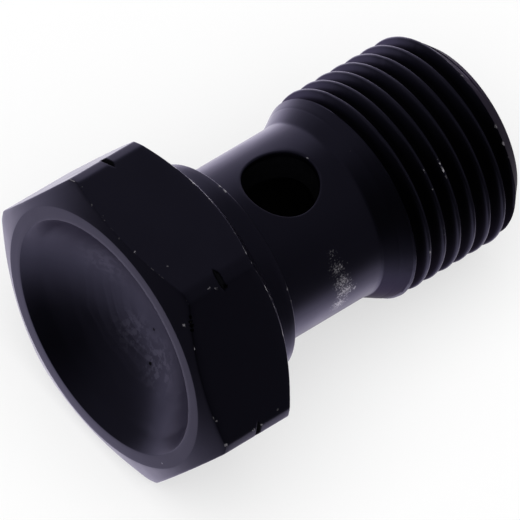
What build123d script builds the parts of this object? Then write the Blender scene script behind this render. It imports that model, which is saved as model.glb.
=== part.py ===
"""Banjo bolt: one hollow hexagon bolt of an M18 x 1.5 line fitting, lying at rest on a flat.

The bolt is drawn along its own axis, from the outer face of the head (z = 0) to the thread end,
with one flat of the hexagon facing its own +x. It is then laid down: that flat goes to the floor,
the thread end tips down until it touches too, and the box is centred over the origin.
"""
import math
import os

from build123d import *

# Hexagon head
ACROSS_FLATS = 24.0
HEAD_HEIGHT = 8.7            # outer face to the seat under the head
RIM_STEP = 0.75              # from the middle of a flat in to the edge of the outer face
FRONT_CHAMFER = 22.0         # degrees from the outer face
CORNER_TURNING = 0.3         # turned off each of the six corners
REAR_CHAMFER = 33.0          # degrees from the seat
SEAT_STEP = 0.6              # from the middle of a flat in to the ring that bears on the washer
NICK_POSITION = 4.25         # turned V that shows only across the corners
NICK_DEPTH = 0.25
NICK_WIDTH = 0.55            # where it leaves the corner

# Dish in the outer face
RIM_WIDTH = 1.15             # flat ring left round the dish
DISH_WALL_DEPTH = 1.2
DISH_WALL_DRAFT = 38.0       # degrees from the axis
DISH_DEPTH = 5.0
DISH_BLEND = 4.0

# Shank
COLLAR_DIAMETER = 18.0       # guides the banjo ring, the thread's nominal size
COLLAR_LENGTH = 2.92
COLLAR_EDGE = 0.15
NECK_DEPTH = 1.5             # turned below the collar, to let oil round the bolt
NECK_LENGTH = 9.83
NECK_FILLET = 0.7
SHOULDER_ANGLE = 30.0        # degrees from the axis
SHOULDER_BLEND = 1.2

# Thread length: the plain cylinder at the major diameter that the thread is cut in
CREST_ALLOWANCE = 0.125      # crests stand this far inside the collar
UNDER_HEAD_LENGTH = 26.55    # seat to thread end
END_CHAMFER = 1.5

# Oilways
FEED_BORE_DIAMETER = 9.0
FEED_BORE_OVERRUN = 0.95     # full bore past the cross hole
DRILL_POINT = 118.0          # degrees, included
BORE_MOUTH_CHAMFER = 0.5
CROSS_HOLE_DIAMETER = 6.0
CROSS_HOLE_EDGE = 0.2

BREAKTHROUGH = 1.0           # how far a cutter runs past the face it leaves by

# Radii about the bolt axis
FLAT = ACROSS_FLATS / 2
CORNER = ACROSS_FLATS / math.sqrt(3) - CORNER_TURNING
RIM = FLAT - RIM_STEP
SEAT = FLAT - SEAT_STEP
COLLAR = COLLAR_DIAMETER / 2
NECK = COLLAR - NECK_DEPTH
CREST = COLLAR - CREST_ALLOWANCE
FEED_BORE = FEED_BORE_DIAMETER / 2

# Places along the bolt axis, from the outer face of the head
COLLAR_END = HEAD_HEIGHT + COLLAR_LENGTH
SHOULDER_START = COLLAR_END + NECK_LENGTH
BOLT_END = HEAD_HEIGHT + UNDER_HEAD_LENGTH
CROSS_HOLE_POSITION = (COLLAR_END + SHOULDER_START) / 2
FEED_BORE_END = CROSS_HOLE_POSITION - CROSS_HOLE_DIAMETER / 2 - FEED_BORE_OVERRUN


def rise(run, degrees):
    """Height gained over a run by a face at this angle."""
    return run * math.tan(math.radians(degrees))


def blended(section, blends):
    """Round some corners of a flat section; each blend is (radius, position, blend radius)."""
    for r, z, blend in blends:
        corner = section.vertices().sort_by(lambda v: math.hypot(v.X - r, v.Z - z))[0]
        section = fillet(corner, blend)
    return section


def turned(points, blends=()):
    """Solid of revolution about the bolt axis from (radius, position) points."""
    outline = Polyline(*[(r, 0, z) for r, z in points], close=True)
    return revolve(blended(make_face(outline), blends), Axis.Z)


def rear_edge(radius):
    """Where the rear chamfer cuts a wall of the head that stands at this radius."""
    return HEAD_HEIGHT - rise(radius - SEAT, REAR_CHAMFER)


def dish():
    """Cutter for the dish: a short steep wall blended into a deep bowl."""
    mouth = RIM - RIM_WIDTH
    foot = mouth - rise(DISH_WALL_DEPTH, DISH_WALL_DRAFT)
    lip = mouth + rise(BREAKTHROUGH, DISH_WALL_DRAFT)
    sag = DISH_DEPTH - DISH_WALL_DEPTH
    bottom_radius = (foot**2 + sag**2) / (2 * sag)
    half = foot / 2
    half_depth = DISH_DEPTH - bottom_radius + math.sqrt(bottom_radius**2 - half**2)
    wall = Polyline((0, 0, DISH_DEPTH), (0, 0, -BREAKTHROUGH), (lip, 0, -BREAKTHROUGH),
                    (foot, 0, DISH_WALL_DEPTH))
    bottom = ThreePointArc((foot, 0, DISH_WALL_DEPTH), (half, 0, half_depth), (0, 0, DISH_DEPTH))
    section = make_face([*wall.edges(), bottom])
    return revolve(blended(section, [(foot, DISH_WALL_DEPTH, DISH_BLEND)]), Axis.Z)


def corner_nick():
    """Cutter for the turned V; it reaches the metal only at the corners."""
    root = CORNER - NICK_DEPTH
    reach = CORNER + NICK_DEPTH
    return turned([(root, NICK_POSITION), (reach, NICK_POSITION - NICK_WIDTH),
                   (reach, NICK_POSITION + NICK_WIDTH)])


def head():
    """Hexagon with turned corners, both chamfers, the nicks and the dish."""
    front = rise(CORNER - RIM, FRONT_CHAMFER)
    blank = turned([(0, 0), (RIM, 0), (CORNER, front), (CORNER, rear_edge(CORNER)),
                    (SEAT, HEAD_HEIGHT), (0, HEAD_HEIGHT)])
    hexagon = extrude(RegularPolygon(FLAT, 6, major_radius=False, rotation=30), HEAD_HEIGHT)
    return (hexagon & blank) - corner_nick() - dish()


def shank():
    """Guide collar, neck, shoulder and thread blank, turned in one piece."""
    shoulder_end = SHOULDER_START + (CREST - NECK) / math.tan(math.radians(SHOULDER_ANGLE))
    profile = [(0, HEAD_HEIGHT), (COLLAR, HEAD_HEIGHT), (COLLAR, COLLAR_END - COLLAR_EDGE),
               (COLLAR - COLLAR_EDGE, COLLAR_END), (NECK, COLLAR_END), (NECK, SHOULDER_START),
               (CREST, shoulder_end), (CREST, BOLT_END - END_CHAMFER),
               (CREST - END_CHAMFER, BOLT_END), (0, BOLT_END)]
    return turned(profile, [(NECK, COLLAR_END, NECK_FILLET), (NECK, SHOULDER_START, SHOULDER_BLEND),
                            (CREST, shoulder_end, SHOULDER_BLEND)])


def feed_bore():
    """Cutter for the blind bore from the thread end, with its drill point and mouth chamfer."""
    mouth = FEED_BORE + BORE_MOUTH_CHAMFER
    tip = FEED_BORE_END - FEED_BORE / math.tan(math.radians(DRILL_POINT / 2))
    return turned([(0, tip), (FEED_BORE, FEED_BORE_END), (FEED_BORE, BOLT_END - BORE_MOUTH_CHAMFER),
                   (mouth, BOLT_END), (mouth + BREAKTHROUGH, BOLT_END + BREAKTHROUGH),
                   (0, BOLT_END + BREAKTHROUGH)])


def cross_hole():
    """Cutter for the hole drilled straight through the neck, square to two flats."""
    across = Plane(origin=(0, 0, CROSS_HOLE_POSITION), x_dir=(0, 1, 0), z_dir=(1, 0, 0))
    return extrude(across * Circle(CROSS_HOLE_DIAMETER / 2), NECK + BREAKTHROUGH, both=True)


def on_neck(edge):
    """Whether an edge is a mouth of the cross hole: it bends in space and lies on the neck all along."""
    places = [edge @ t for t in (0.1, 0.37, 0.8)]
    bent = edge.geom_type not in (GeomType.CIRCLE, GeomType.LINE)
    return bent and all(math.isclose(math.hypot(p.X, p.Y), NECK, abs_tol=1e-3) for p in places)


def bolt():
    """The whole bolt along its own axis."""
    drilled = shank() - feed_bore() - cross_hole()
    return head() + chamfer(drilled.edges().filter_by(on_neck), CROSS_HOLE_EDGE)


def lay_down(solid):
    """Rest the bolt on one flat and the thread end, box centred over the origin, floor at z = 0."""
    tilt = math.atan2(FLAT - CREST, BOLT_END - END_CHAMFER - rear_edge(FLAT))
    down = (-math.sin(tilt), 0, -math.cos(tilt))
    along = (math.cos(tilt), 0, -math.sin(tilt))
    laid = Plane(origin=(0, 0, 0), x_dir=down, z_dir=along).location * solid
    box = laid.bounding_box()
    return Pos(-box.center().X, -box.center().Y, -box.min.Z) * laid


banjo_bolt = lay_down(bolt())
banjo_bolt.label = "banjo_bolt"
os.makedirs("parts", exist_ok=True)
export_step(banjo_bolt, "parts/banjo_bolt.step")
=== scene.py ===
"""Banjo bolt: its detailed mesh, its worn black finish and the studio it lies in.

The mesh is built in the bolt's own frame, in millimetres: x points to the flat that the bolt lies
on, y goes sideways, and z runs along the axis from the outer face of the head to the thread end.
Angles about the axis start at the flat it lies on and turn from x to y. The finished mesh is laid
on the floor of the CAD model's frame, in metres.

Wear and painted shade share one number at each point: 1 where an edge is rubbed bright, 0 where
the finish is whole, and -1 where the surface is painted darkest as shade, in grooves and holes out
of reach.
"""

from __future__ import annotations

import logging
import math
from dataclasses import dataclass, field
from enum import Enum

import bmesh
import bpy
import numpy as np
from mathutils import Matrix, Vector, noise

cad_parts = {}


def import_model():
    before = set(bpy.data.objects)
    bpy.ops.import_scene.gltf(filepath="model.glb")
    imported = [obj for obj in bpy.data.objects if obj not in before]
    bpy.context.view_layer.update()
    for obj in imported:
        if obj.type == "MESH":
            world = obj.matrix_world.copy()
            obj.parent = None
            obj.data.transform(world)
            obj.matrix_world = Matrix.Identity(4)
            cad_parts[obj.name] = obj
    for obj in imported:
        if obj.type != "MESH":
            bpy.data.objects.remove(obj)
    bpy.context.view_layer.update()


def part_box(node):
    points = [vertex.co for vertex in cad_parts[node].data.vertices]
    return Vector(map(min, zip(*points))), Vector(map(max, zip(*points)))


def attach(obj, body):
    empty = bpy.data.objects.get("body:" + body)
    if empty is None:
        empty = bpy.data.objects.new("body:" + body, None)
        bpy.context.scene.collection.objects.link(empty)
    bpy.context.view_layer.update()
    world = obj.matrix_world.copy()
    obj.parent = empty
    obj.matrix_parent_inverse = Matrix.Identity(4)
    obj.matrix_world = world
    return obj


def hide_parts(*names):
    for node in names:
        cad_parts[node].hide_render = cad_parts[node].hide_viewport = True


MM = 0.001  # one millimetre, in the scene's metres
WELD = 1e-4  # cell, in millimetres, within which points are joined
WELD_SHIFT = 0.3  # keeps round figures away from the cells' sides
ARC_SHARE = 0.45  # most that a corner's arc takes of the lines beside it
MEAN_NOISE = 0.5  # the middle of what a noise node gives

NODE = "banjo_bolt"
PIECE = "banjo_bolt_body"
# Layer of rubbed wear above 0 and of painted shade below 0
WEAR_AND_SHADE_LAYER = "wear_and_shade"

Colour = tuple[float, float, float, float]
Point = tuple[float, float, float]
Span = tuple[float, float]  # where a change begins and where it is full
Amount = float | np.ndarray  # one value, or one for each point
Socket = bpy.types.NodeSocket
Input = Socket | Vector | float | tuple[float, ...]  # what a node's input takes

WHITE: Colour = (1.0, 1.0, 1.0, 1.0)

log = logging.getLogger("banjo_bolt")


class Side(Enum):
    """The two mouths of the cross hole, each by the sign of its local x."""

    LOWER = 1
    UPPER = -1


def smooth_step(low: float, high: float, value: np.ndarray) -> np.ndarray:
    """Ease from 0 at low to 1 at high.

    Args:
        low: Value at which the result leaves 0.
        high: Value at which the result reaches 1.
        value: Values to ease.

    Returns:
        An array of the same shape, from 0 to 1.
    """
    t = np.clip((value - low) / (high - low), 0.0, 1.0)
    return t * t * (3.0 - 2.0 * t)


def soft_min(a: np.ndarray, b: Amount, softness: float) -> np.ndarray:
    """Return the lower of two values, with the crossing rounded off over the softness."""
    return 0.5 * (a + b - np.sqrt((a - b) ** 2 + softness**2))


def soft_rise(past: float, softness: float) -> float:
    """Return how far a value is past 0, or 0 before it, rounded off over the softness."""
    return 0.5 * (past + math.sqrt(past**2 + softness**2))


def cot(degrees: float) -> float:
    """Return the cotangent of an angle in degrees."""
    return 1.0 / math.tan(math.radians(degrees))


def tan(degrees: float) -> float:
    """Return the tangent of an angle in degrees."""
    return math.tan(math.radians(degrees))


def about_axis(r: Amount, angles: np.ndarray, z: Amount) -> np.ndarray:
    """Return points by radius, angle and place along the axis, with x, y and z in the last axis."""
    return np.stack(np.broadcast_arrays(r * np.cos(angles), r * np.sin(angles), z), -1)


@dataclass(frozen=True)
class Columns:
    """The angles about the axis at which every turned surface has a line of points, in degrees.

    Attributes:
        first: Angle of the first column; the last is one turn on.
        sector: Angle that one side of the hexagon takes up.
        edge_from: Angle from the middle of a flat at which a corner's closer columns begin.
        flat_steps: Steps from the middle of a flat to there.
        corner_steps: Steps from there to the corner.
    """

    first: float = -60.0
    sector: float = 60.0
    edge_from: float = 25.0
    flat_steps: int = 9
    corner_steps: int = 10

    @property
    def half(self) -> int:
        """Columns in half a sector of the hexagon."""
        return self.flat_steps + self.corner_steps

    @property
    def angles(self) -> np.ndarray:
        """All the angles over one full turn, from the middle of a flat.

        Returns:
            The angles in radians, ends included.
        """
        flat = np.linspace(0.0, self.edge_from, self.flat_steps + 1)[:-1]
        corner = np.linspace(self.edge_from, self.sector / 2, self.corner_steps + 1)
        out = np.concatenate([flat, corner])
        sector = np.concatenate([out[:-1], self.sector - out[::-1]])[:-1]
        starts = self.first + np.arange(6) * self.sector
        turn = np.concatenate([start + sector for start in starts] + [[self.first + 360.0]])
        return np.radians(turn)

    def between(self, start: float, end: float) -> slice:
        """Find the columns from one angle to another.

        Args:
            start: First angle, in degrees.
            end: Last angle, in degrees.

        Returns:
            The columns, both ends included.
        """
        turn = np.degrees(self.angles)
        first = int(np.argmin(abs(turn - start)))
        last = int(np.argmin(abs(turn - end)))
        return slice(first, last + 1)


@dataclass
class Corner:
    """One corner of a line that runs along the axis over all columns.

    Attributes:
        r: Radius, one value or one for each column.
        z: Place along the axis, one value or one for each column.
        rounding: Radius of the arc that rounds the corner.
        arc: Steps in that arc.
        run: Steps along the straight line to the next corner.
        wear_and_shade: From 1, an edge that is rubbed bright, to -1, a sheltered groove painted
            dark as shade.
    """

    r: Amount
    z: Amount
    rounding: float = 0.0
    arc: int = 0
    run: int = 1
    wear_and_shade: Amount = 0.0

    def rounded(
        self, before: np.ndarray, place: np.ndarray, after: np.ndarray
    ) -> list[tuple[np.ndarray, Amount]]:
        """Round the corner off.

        Args:
            before: Places of the corner before it, as columns by 2.
            place: Its own places.
            after: Places of the corner after it.

        Returns:
            The places along the arc, each with its wear.
        """
        back, ahead = before - place, after - place
        back_length = np.linalg.norm(back, axis=-1, keepdims=True)
        ahead_length = np.linalg.norm(ahead, axis=-1, keepdims=True)
        back, ahead = back / back_length, ahead / ahead_length
        straight = np.clip((back * ahead).sum(-1, keepdims=True), -1, 1)
        half_turn = (math.pi - np.arccos(straight)) / 2
        room = ARC_SHARE * np.minimum(back_length, ahead_length)
        reach = np.minimum(self.rounding * np.tan(half_turn), room)
        start, end, weight = place + back * reach, place + ahead * reach, np.cos(half_turn)
        arc = []
        for step in range(self.arc + 1):
            t = step / self.arc
            top = (1 - t) ** 2 * start + 2 * t * (1 - t) * weight * place + t**2 * end
            low = (1 - t) ** 2 + 2 * t * (1 - t) * weight + t**2
            inside = 0 < step < self.arc
            arc.append((top / low, self.wear_and_shade if inside else np.minimum(self.wear_and_shade, 0)))
        return arc


def turned(corners: list[Corner], angles: np.ndarray) -> tuple[np.ndarray, np.ndarray]:
    """Turn a line of corners about the axis.

    Args:
        corners: The corners in order.
        angles: The angle of each column, in radians.

    Returns:
        Points as rows by columns by 3, and the wear of each point.
    """
    places = np.array([np.stack(np.broadcast_arrays(c.r, c.z, angles)[:2], -1) for c in corners])
    rows: list[np.ndarray] = []
    wear_and_shade: list[Amount] = []
    for i, corner in enumerate(corners):
        arc = [(places[i], corner.wear_and_shade)]
        if corner.arc and 0 < i < len(corners) - 1:
            arc = corner.rounded(*places[i - 1 : i + 2])
        if rows:
            previous, steps = rows[-1], corners[i - 1].run
            for step in range(1, steps):
                rows.append(previous + (arc[0][0] - previous) * step / steps)
                wear_and_shade.append(np.minimum(np.minimum(corners[i - 1].wear_and_shade, corner.wear_and_shade), 0))
        for place, amount in arc:
            rows.append(place)
            wear_and_shade.append(amount)
    line = np.array(rows)
    points = about_axis(line[..., 0], angles, line[..., 1])
    return points, np.array([np.broadcast_to(amount, angles.shape) for amount in wear_and_shade])


class Shell:
    """Grids of points that are welded into one closed mesh."""

    def __init__(self) -> None:
        """Start with nothing."""
        self.points: list[np.ndarray] = []
        self.wear_and_shade: list[np.ndarray] = []
        self.quads: list[np.ndarray] = []
        self.count = 0

    def add(self, points: np.ndarray, wear_and_shade: Amount = 0.0) -> None:
        """Add one grid.

        Args:
            points: Rows by columns by 3, in millimetres.
            wear_and_shade: The wear of each point, or one value for all.
        """
        rows, columns = points.shape[:2]
        index = self.count + np.arange(rows * columns).reshape(rows, columns)
        quads = np.stack([index[:-1, :-1], index[:-1, 1:], index[1:, 1:], index[1:, :-1]], -1)
        self.points.append(points.reshape(-1, 3))
        self.wear_and_shade.append(np.broadcast_to(wear_and_shade, (rows, columns)).reshape(-1))
        self.quads.append(quads.reshape(-1, 4))
        self.count += rows * columns

    def welded(self) -> tuple[np.ndarray, np.ndarray, list[list[int]]]:
        """Join points that share a place.

        Returns:
            Points, the wear of each, and faces of three or four points.
        """
        points, wear_and_shade = np.concatenate(self.points), np.concatenate(self.wear_and_shade)
        keys = np.floor(points / WELD + WELD_SHIFT)
        _, first, inverse = np.unique(keys, axis=0, return_index=True, return_inverse=True)
        inverse = inverse.reshape(-1)
        rubbed, shade_and_dark_marks = np.zeros(len(first)), np.zeros(len(first))
        np.maximum.at(rubbed, inverse, wear_and_shade)
        np.minimum.at(shade_and_dark_marks, inverse, wear_and_shade)
        faces = []
        for quad in inverse[np.concatenate(self.quads)].tolist():
            ring = [v for k, v in enumerate(quad) if v != quad[k - 1]]
            if len(ring) > 2 and len(set(ring)) == len(ring):
                faces.append(ring)
        return points[first], np.where(rubbed > 0, rubbed, shade_and_dark_marks), faces


@dataclass(frozen=True)
class Head:
    """The hexagon with its turned corners, both chamfers and the corner nicks."""

    across_flats: float = 24.0
    height: float = 8.7
    rim_step: float = 0.75
    front_chamfer: float = 22.0
    corner_turning: float = 0.3
    rear_chamfer: float = 33.0
    seat_step: float = 0.6
    corner_softness: float = 0.05
    edge_rounding: float = 0.14
    wall_steps: int = 5
    # Turned V across the corners: its steps go from its middle to past its edge, at 1
    nick_position: float = 4.25
    nick_depth: float = 0.25
    nick_width: float = 0.55
    nick_steps: tuple[float, ...] = (0.1, 0.35, 0.7, 1.0, 1.25)
    # Painted shade in the V, full once the V is this far below the wall
    nick_shade_from: float = 0.06
    # Wear of the edges, from the outer face to the seat
    rim_wear: float = 0.25
    front_wear: float = 0.85
    rear_wear: float = 1.0
    seat_wear: float = 0.3

    @property
    def flat(self) -> float:
        """Distance of a flat from the axis."""
        return self.across_flats / 2

    @property
    def corner(self) -> float:
        """Radius that the corners are turned to."""
        return self.across_flats / math.sqrt(3) - self.corner_turning

    @property
    def rim(self) -> float:
        """Radius of the flat outer face."""
        return self.flat - self.rim_step

    @property
    def seat(self) -> float:
        """Radius of the ring that bears on the washer."""
        return self.flat - self.seat_step

    def wall(self, angles: np.ndarray) -> np.ndarray:
        """Return the radius of the hexagon's side at each angle."""
        offset = (angles + math.pi / 6) % (math.pi / 3) - math.pi / 6
        return soft_min(self.flat / np.cos(offset), self.corner, self.corner_softness)

    def front_edge(self, wall: Amount) -> Amount:
        """Return where the front chamfer meets a wall at this radius."""
        return (wall - self.rim) * tan(self.front_chamfer)

    def rear_edge(self, wall: Amount) -> Amount:
        """Return where the rear chamfer meets a wall at this radius."""
        return self.height - (wall - self.seat) * tan(self.rear_chamfer)

    def nick_rows(self, wall: np.ndarray) -> list[Corner]:
        """Draw the part of the wall that dips into the turned V at the corners.

        Args:
            wall: Radius of the side at each column.

        Returns:
            The rows across the V, from the outer face's side to the seat's.
        """
        rows = []
        for across in [-step for step in self.nick_steps[::-1]] + list(self.nick_steps):
            row = Corner(wall, self.nick_position + across * self.nick_width / 2)
            if abs(across) <= 1.0:
                cut = self.corner - self.nick_depth * (1.0 - abs(across))
                row.r = np.minimum(wall, cut)
                # The V is painted dark as its shade
                row.wear_and_shade = -smooth_step(0.0, self.nick_shade_from, wall - cut)
            rows.append(row)
        return rows

    def corners(self, angles: np.ndarray) -> list[Corner]:
        """Draw the outside of the head.

        Args:
            angles: The angle of each column, in radians.

        Returns:
            The line from the rim's outer edge to the seat's outer edge.
        """
        wall, edge = self.wall(angles), self.edge_rounding
        nick = self.nick_rows(wall)
        nick[-1].run = self.wall_steps
        return [
            Corner(self.rim, 0.0, edge, arc=3, run=5, wear_and_shade=self.rim_wear),
            Corner(wall, self.front_edge(wall), edge, arc=3, run=6, wear_and_shade=self.front_wear),
            *nick,
            Corner(wall, self.rear_edge(wall), edge, arc=3, run=4, wear_and_shade=self.rear_wear),
            Corner(self.seat, self.height, edge, arc=2, run=4, wear_and_shade=self.seat_wear),
        ]


@dataclass(frozen=True)
class Dish:
    """The hollow in the outer face: a steep wall blended into a bowl."""

    rim: float
    rim_width: float = 1.15
    wall_depth: float = 1.2
    wall_draft: float = 38.0
    depth: float = 5.0
    blend: float = 4.0
    bottom_steps: int = 16
    blend_steps: int = 6
    mouth_rounding: float = 0.12
    mouth_wear: float = 0.2

    @property
    def mouth(self) -> float:
        """Radius of the dish at the outer face."""
        return self.rim - self.rim_width

    def corners(self) -> list[Corner]:
        """Draw the bowl, the blend and the wall.

        Returns:
            The line from the middle of the dish to its mouth.
        """
        draft = math.radians(self.wall_draft)
        foot = np.array((self.mouth - self.wall_depth * math.tan(draft), self.wall_depth))
        sag = self.depth - self.wall_depth
        bowl = (foot[0] ** 2 + sag**2) / (2 * sag)
        bowl_centre = np.array((0.0, self.depth - bowl))
        up_wall = np.array((math.sin(draft), -math.cos(draft)))
        inward = np.array((-math.cos(draft), -math.sin(draft)))
        offset = foot + inward * self.blend - bowl_centre
        along = offset @ up_wall
        slide = -along - math.sqrt(along**2 - offset @ offset + (bowl - self.blend) ** 2)
        blend_centre = offset + up_wall * slide + bowl_centre
        touch = math.atan2(*(blend_centre - bowl_centre))
        line = []
        for centre, radius, start, end, steps in (
            (bowl_centre, bowl, 0.0, touch, self.bottom_steps),
            (blend_centre, self.blend, touch, math.pi / 2 - draft, self.blend_steps),
        ):
            for step in range(steps):
                angle = start + (end - start) * step / steps
                r, z = centre + radius * np.array((math.sin(angle), math.cos(angle)))
                line.append(Corner(r, z))
        wall_top = blend_centre - inward * self.blend
        line.append(Corner(wall_top[0], wall_top[1], run=2))
        rounding, wear_and_shade = self.mouth_rounding, self.mouth_wear
        line.append(Corner(self.mouth, 0.0, rounding, arc=3, run=3, wear_and_shade=wear_and_shade))
        return line


@dataclass(frozen=True)
class Shank:
    """The guide collar, the neck and the shoulder that leads to the thread."""

    head: Head
    # Guide collar
    collar_diameter: float = 18.0
    collar_length: float = 2.92
    collar_edge: float = 0.15
    collar_foot: float = 0.12
    collar_wear: float = 0.8
    # Neck and shoulder; rows lie close together within the reach of the shoulder's foot
    neck_depth: float = 1.5
    neck_length: float = 9.83
    neck_fillet: float = 0.7
    shoulder_angle: float = 30.0
    shoulder_corner: float = 0.10
    shoulder_reach: float = 0.3
    shoulder_rows: int = 9
    # Painted shade on one side of the shoulder, by its angle in degrees
    shoulder_shade: float = 0.25
    shoulder_shade_side: float = -105.0
    shoulder_shade_over: Span = (0.25, 0.75)
    shoulder_shade_from: float = 0.1
    # Fine turned mark on the shoulder
    mark_at: float = 22.68
    mark_width: float = 0.16
    mark_depth: float = 0.02
    mark_reach: float = 0.7
    mark_rows: tuple[float, ...] = (-1.0, -0.4, 0.0, 0.4, 1.0)
    # Blank of the thread
    crest_allowance: float = 0.125
    crest_corner: float = 0.04
    under_head_length: float = 26.55
    end_chamfer: float = 1.5
    end_corner: float = 0.05

    @property
    def collar(self) -> float:
        """Radius of the guide collar."""
        return self.collar_diameter / 2

    @property
    def neck(self) -> float:
        """Radius of the neck."""
        return self.collar - self.neck_depth

    @property
    def crest(self) -> float:
        """Radius of the thread's crests."""
        return self.collar - self.crest_allowance

    @property
    def collar_end(self) -> float:
        """Where the collar steps down to the neck."""
        return self.head.height + self.collar_length

    @property
    def shoulder_start(self) -> float:
        """Where the neck begins to rise."""
        return self.collar_end + self.neck_length

    @property
    def end(self) -> float:
        """Where the bolt ends."""
        return self.head.height + self.under_head_length

    @property
    def tip(self) -> float:
        """Radius of the end face."""
        return self.crest - self.end_chamfer

    def collar_corners(self, neck_until: float) -> list[Corner]:
        """Draw the collar and the first stretch of the neck.

        Args:
            neck_until: Place on the neck where the line stops.

        Returns:
            The line from the seat's inner edge to that place.
        """
        start, end = self.head.height, self.collar_end
        return [
            Corner(self.collar, start, self.collar_foot, arc=2, run=6),
            Corner(self.collar, end, self.collar_edge, arc=3, run=3, wear_and_shade=self.collar_wear),
            Corner(self.neck, end, self.neck_fillet, arc=6),
            Corner(self.neck, neck_until),
        ]

    def blank(self, z: np.ndarray) -> np.ndarray:
        """Turn the plain blank that the thread is cut in.

        Args:
            z: Places along the axis, from the shoulder to the end.

        Returns:
            The radius at each place.
        """
        cone = self.neck + (z - self.shoulder_start) * tan(self.shoulder_angle)
        tapering = self.tip + (self.end - z)
        return soft_min(soft_min(cone, self.crest, self.crest_corner), tapering, self.end_corner)

    def shoulder_painted_shade(self, angles: np.ndarray) -> np.ndarray:
        """Return the shoulder's painted shade, which darkens one side only, as a value below 0."""
        turn = angles - math.radians(self.shoulder_shade_side)
        return -self.shoulder_shade * smooth_step(*self.shoulder_shade_over, np.cos(turn))

    def rise_corners(self, neck_from: float, until: float, angles: np.ndarray) -> list[Corner]:
        """Draw the shoulder, with its one fine turned mark.

        Args:
            neck_from: Place on the neck where the line starts.
            until: Place on the shoulder where it stops.
            angles: The angle of each column, in radians.

        Returns:
            The line from the one place to the other.
        """
        corners = [Corner(self.neck, neck_from)]
        # The shoulder is painted darker on one side, as shade
        painted_shade = self.shoulder_painted_shade(angles)
        start, reach = self.shoulder_start, self.shoulder_reach
        foot = np.linspace(start - reach, start + reach, self.shoulder_rows)
        mark = [self.mark_at + step * self.mark_width for step in self.mark_rows]
        for z in (*foot, *mark):
            past = z - start
            lift = soft_rise(past, self.shoulder_corner) * tan(self.shoulder_angle)
            off_mark = abs(z - self.mark_at) / (self.mark_reach * self.mark_width)
            sunk = self.mark_depth * max(0.0, 1.0 - off_mark)
            wear_and_shade = painted_shade if past > self.shoulder_shade_from else 0.0
            corners.append(Corner(self.neck + lift - sunk, z, wear_and_shade=wear_and_shade))
        corners.append(Corner(float(self.blank(np.array(until))), until, wear_and_shade=painted_shade))
        return corners


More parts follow.
